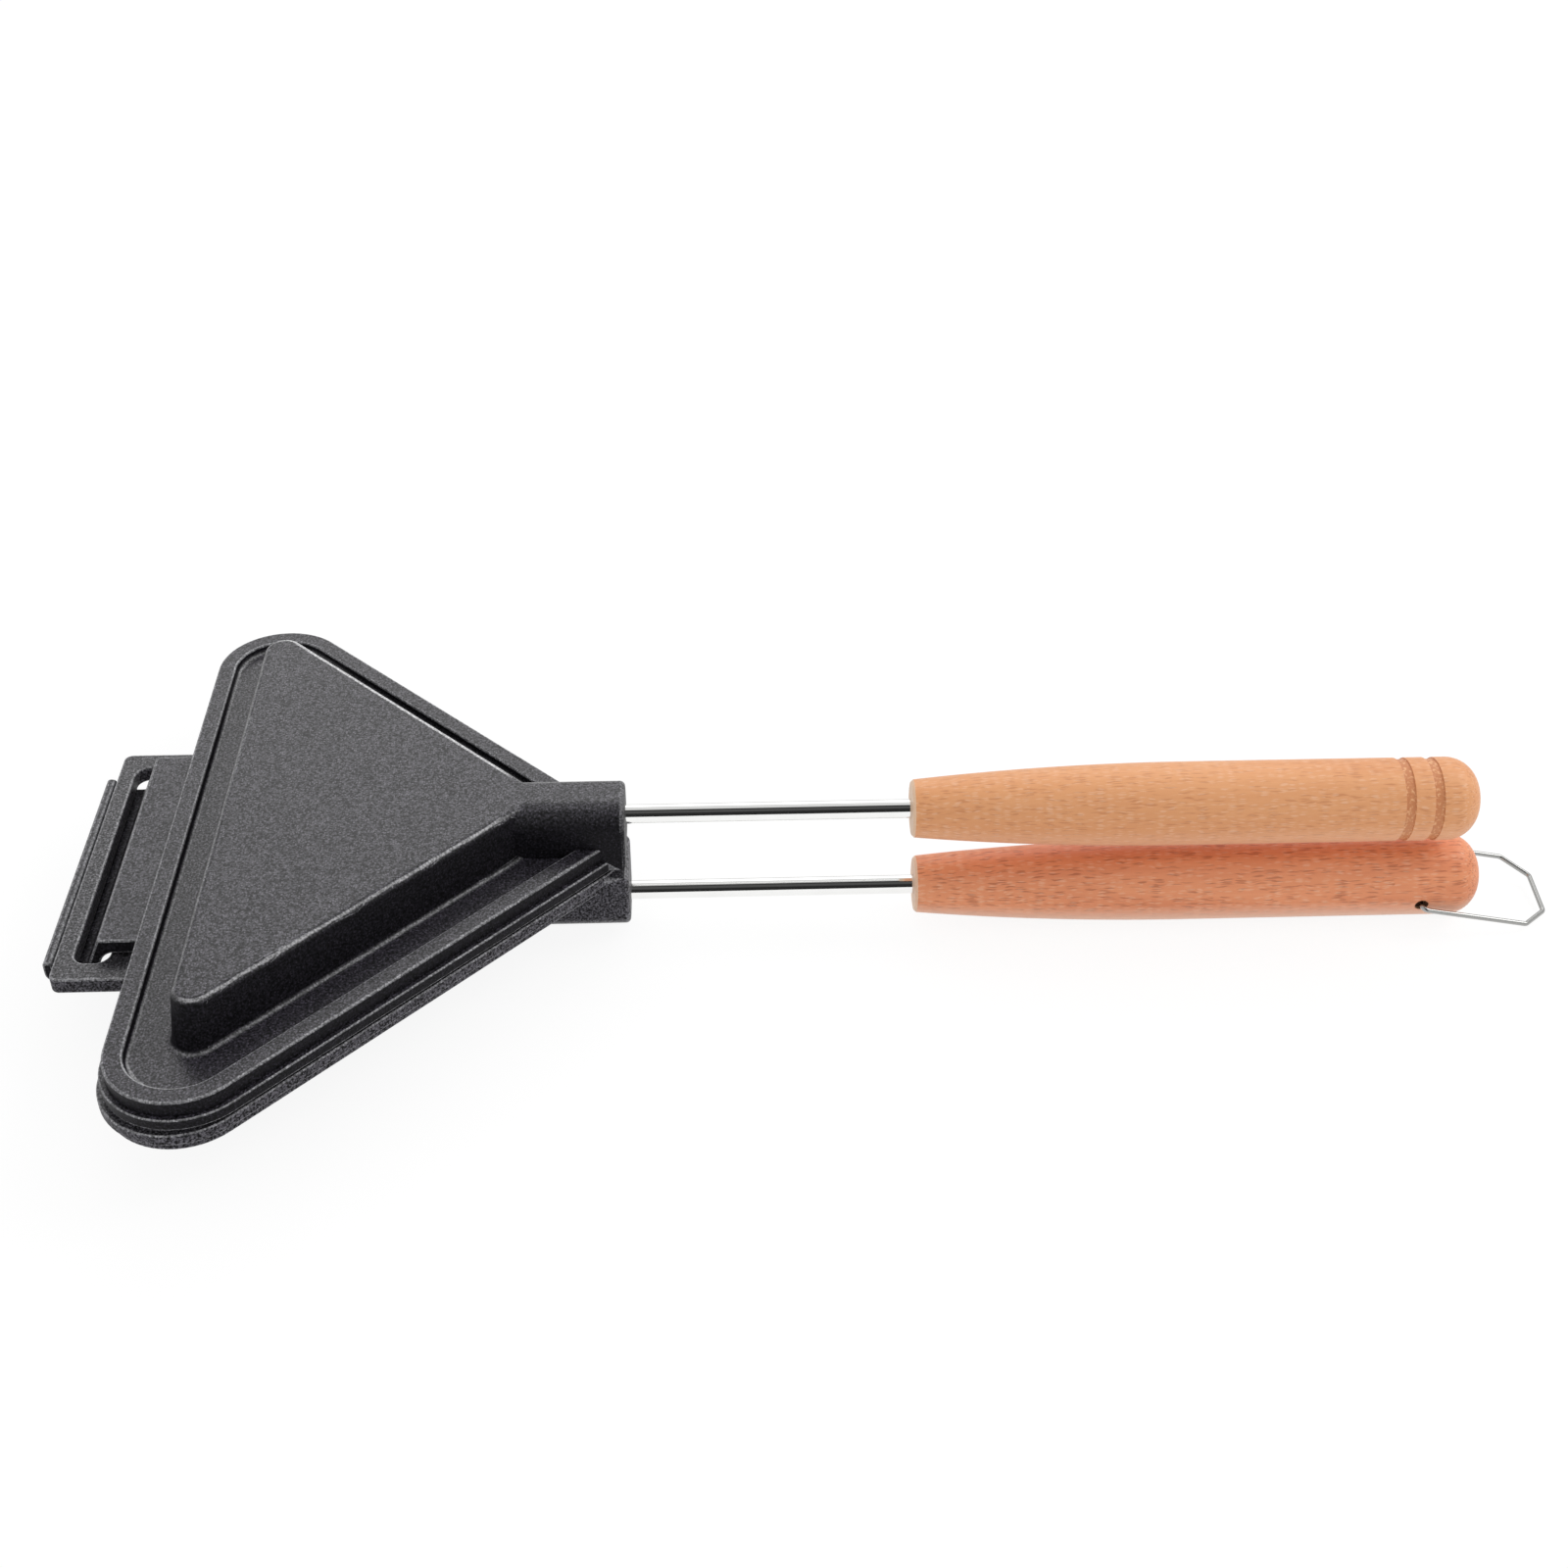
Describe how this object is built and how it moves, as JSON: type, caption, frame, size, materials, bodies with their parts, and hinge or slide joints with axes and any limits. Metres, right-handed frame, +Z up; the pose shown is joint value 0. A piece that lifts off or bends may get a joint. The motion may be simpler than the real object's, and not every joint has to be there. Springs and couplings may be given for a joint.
{
  "type": "double-sided sandwich pan",
  "caption": "Hinged triangular toasting pan: cast halves that hook together, each with a steel rod and wooden grip, and a wire loop for hanging.",
  "frame": {"origin": "centre of the closed pan's footprint, on the surface it lies on", "axes": "+X along the handles from hinge to hanging loop, +Z up from the lower half to the upper half"},
  "size_m": [0.3818, 0.1892, 0.0464],
  "materials": {
    "nonstick_cast": "matt charcoal non-stick coat with a fine speckle",
    "bright_steel": "polished",
    "screw_steel": "black oxide",
    "tan_beech": "smooth oiled, pale tan",
    "red_beech": "smooth oiled, reddish",
    "wire_steel": "drawn wire"
  },
  "bodies": {
    "lower_half": {"lower_pan": "nonstick_cast", "lower_rod": "bright_steel", "lower_grub_screw": "screw_steel", "lower_grip": "red_beech"},
    "upper_half": {"upper_pan": "nonstick_cast", "upper_rod": "bright_steel", "upper_grub_screw": "screw_steel", "upper_grip": "tan_beech"},
    "loop": {"hanging_loop": "wire_steel"}
  },
  "joints": [
    {"name": "pan_hinge", "type": "hinge", "parent": "lower_half", "child": "upper_half", "pos_m": [-0.18516, 0, 0.0219], "axis": [0, -1, 0], "range_deg": [0, 180]},
    {"name": "loop_swing", "type": "hinge", "parent": "lower_half", "child": "loop", "pos_m": [0.15494, 0, 0.01005], "axis": [0, 0.9925, 0.1219], "range_deg": [-65, 144]}
  ]
}
